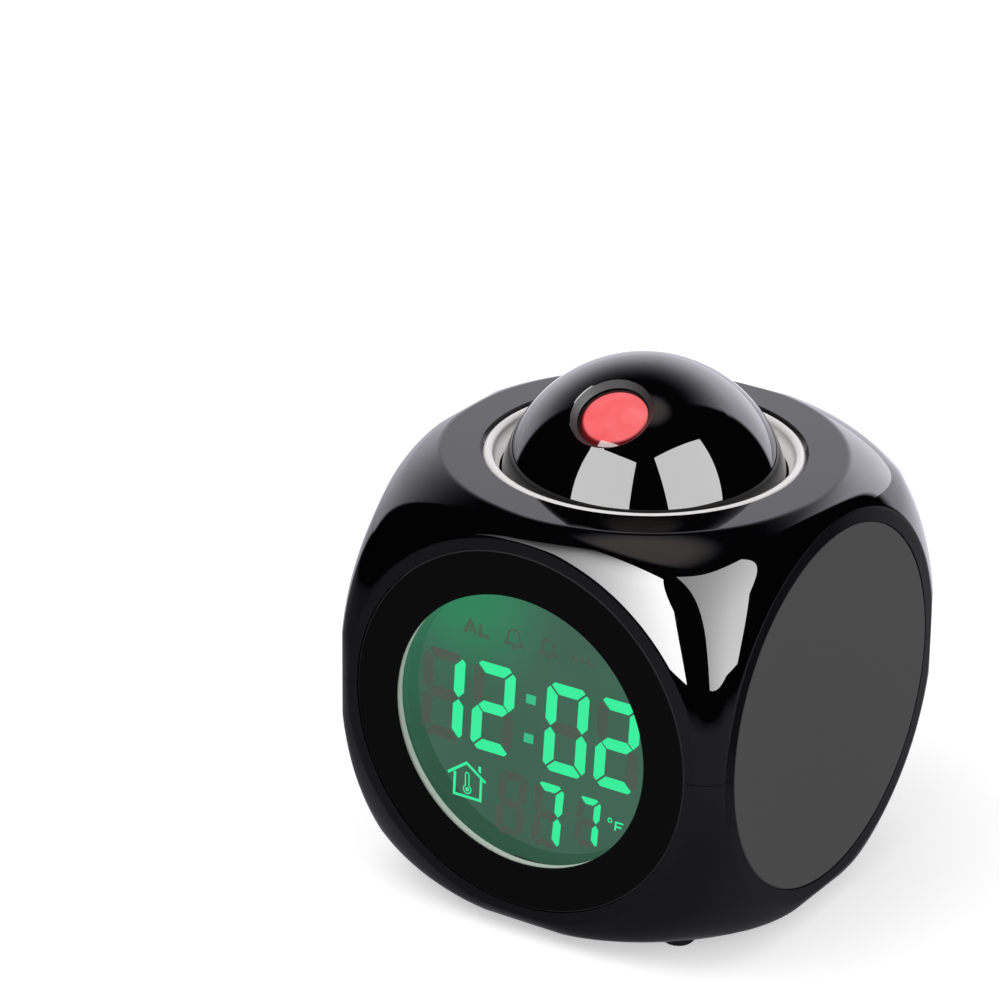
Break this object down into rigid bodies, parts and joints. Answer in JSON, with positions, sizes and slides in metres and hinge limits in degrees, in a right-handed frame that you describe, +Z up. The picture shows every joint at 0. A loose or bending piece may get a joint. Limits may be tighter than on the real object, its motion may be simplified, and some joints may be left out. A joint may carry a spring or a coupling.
{
  "type": "projection alarm clock",
  "caption": "Cube alarm clock with flared, rounded corners and a round lit display, and a projector ball in a ring on top that is pressed, turned and tilted.",
  "frame": {"origin": "middle of the footprint, on the undersides of the four feet", "axes": "+X towards the right cover as seen from the display, the display looks along -Y, +Z up"},
  "size_m": [0.085, 0.085, 0.1028],
  "materials": {
    "black_gloss": "high-gloss moulded black ABS",
    "black_print": "black ring printed on a matt sheet",
    "clear_window": "clear polished acrylic",
    "light_grey": "light grey moulded plastic",
    "lcd_glass": "liquid crystal cell between two glasses",
    "backlight_green": "frosted diffuser lit green from its edge",
    "green_lamp": "green chip lamp",
    "black_rubber": "moulded black rubber",
    "board_green": "green solder resist on glass fibre",
    "chip_black": "black moulded plastic",
    "zinc_steel": "zinc-plated steel",
    "cover_grey": "dark grey satin plastic",
    "key_black": "black keys",
    "paper_black": "black pressed paper",
    "ferrite": "sintered ferrite",
    "nickel_brass": "nickel-plated brass",
    "cell_jacket": "plain silver cell jacket",
    "spring_steel": "drawn spring wire",
    "ring_white": "off-white moulded plastic",
    "cup_black": "matt black moulded plastic",
    "red_lens": "clear lens lit red from behind",
    "red_lamp": "red lamp"
  },
  "bodies": {
    "housing": {"upper_housing": "black_gloss", "lower_housing": "black_gloss", "front_bezel": "black_print", "display_window": "clear_window", "lcd_retainer": "light_grey", "lcd_panel": "lcd_glass", "light_box": "light_grey", "backlight_diffuser": "backlight_green", "backlight_led": "green_lamp", "contact_strip": "black_rubber", "main_board": "board_green", "board_chips": "chip_black", "board_screws": "zinc_steel", "left_cover": "cover_grey", "right_cover": "cover_grey", "rear_panel": "cover_grey", "key_board": "board_green", "key_switches": "chip_black", "speaker_frame": "zinc_steel", "speaker_cone": "paper_black", "speaker_magnet": "ferrite", "dc_jack": "chip_black", "dc_jack_pin": "nickel_brass", "battery_cells": "cell_jacket", "battery_contacts": "nickel_brass", "battery_springs": "spring_steel", "foot_1": "black_rubber", "foot_2": "black_rubber", "foot_3": "black_rubber", "foot_4": "black_rubber", "housing_screws": "zinc_steel", "spring_deck": "chip_black", "deck_screws": "zinc_steel", "snooze_board": "board_green", "snooze_switch": "chip_black", "return_springs": "spring_steel"},
    "ring": {"trim_ring": "ring_white", "press_collar": "black_gloss"},
    "cup": {"swivel_cup": "cup_black"},
    "ball": {"ball_upper_shell": "black_gloss", "ball_lower_shell": "black_gloss", "trunnion_pins": "zinc_steel", "projector_lens": "red_lens", "lens_barrel": "cup_black", "picture_slide": "lcd_glass", "condenser_lens": "clear_window", "projector_led": "red_lamp", "ball_board": "board_green", "barrel_screws": "zinc_steel"},
    "key_up": {"key_up": "key_black"},
    "key_down": {"key_down": "key_black"},
    "key_mode": {"key_mode": "key_black"},
    "key_set": {"key_set": "key_black"},
    "door": {"battery_door": "black_gloss"}
  },
  "joints": [
    {"name": "snooze_press", "type": "slide", "parent": "housing", "child": "ring", "axis": [0, 0, -1], "range_m": [0, 0.0012], "stiffness_N_per_m": 1500, "springref_m": -0.0012, "deforming": ["return_springs"]},
    {"name": "projector_turn", "type": "hinge", "parent": "ring", "child": "cup", "pos_m": [0, 0, 0.0753], "axis": [0, 0, 1], "range_deg": [-90, 90]},
    {"name": "projector_tilt", "type": "hinge", "parent": "cup", "child": "ball", "pos_m": [0, 0, 0.0753], "axis": [0.9963, 0.0854, 0], "range_deg": [-75, 18]},
    {"name": "door_swing", "type": "hinge", "parent": "housing", "child": "door", "pos_m": [0, -0.0176, 0.0019], "axis": [-1, 0, 0], "range_deg": [0, 80]},
    {"name": "key_up_press", "type": "slide", "parent": "housing", "child": "key_up", "axis": [0, -1, 0], "range_m": [0, 0.0008], "stiffness_N_per_m": 600, "springref_m": -0.0006},
    {"name": "key_down_press", "type": "slide", "parent": "housing", "child": "key_down", "axis": [0, -1, 0], "range_m": [0, 0.0008], "stiffness_N_per_m": 600, "springref_m": -0.0006},
    {"name": "key_mode_press", "type": "slide", "parent": "housing", "child": "key_mode", "axis": [0, -1, 0], "range_m": [0, 0.0008], "stiffness_N_per_m": 600, "springref_m": -0.0006},
    {"name": "key_set_press", "type": "slide", "parent": "housing", "child": "key_set", "axis": [0, -1, 0], "range_m": [0, 0.0008], "stiffness_N_per_m": 600, "springref_m": -0.0006}
  ]
}
